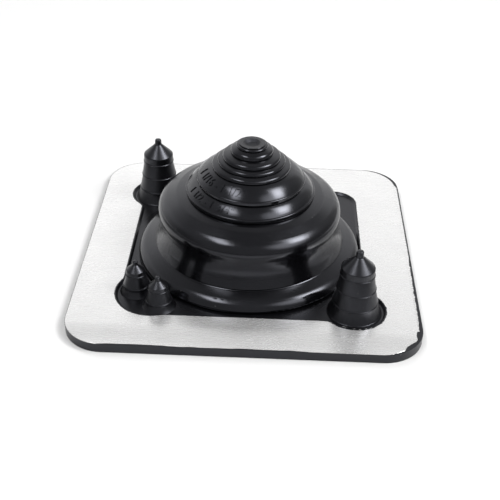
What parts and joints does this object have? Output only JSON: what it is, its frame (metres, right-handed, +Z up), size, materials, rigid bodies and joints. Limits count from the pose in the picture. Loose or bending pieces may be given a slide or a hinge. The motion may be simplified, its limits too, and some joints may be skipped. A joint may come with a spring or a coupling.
{
  "type": "roof cable seal",
  "caption": "Square roof flashing: a hollow black rubber boot with a stepped centre cone and stepped corner cones, cut to size to seal pipes and cables, on an aluminium flange.",
  "frame": {"origin": "bottom centre of the square base, under the axis of the stepped cone", "axes": "+Z up out of the roof along the cone, +X and +Y along the sides of the base, with the pair of small cones at -X -Y"},
  "size_m": [0.115, 0.115, 0.045],
  "materials": {
    "black_rubber": "semi-gloss moulded",
    "flange_aluminium": "mill, matt"
  },
  "bodies": {
    "root": {"rubber_boot": "black_rubber", "aluminium_flange": "flange_aluminium"}
  },
  "joints": []
}
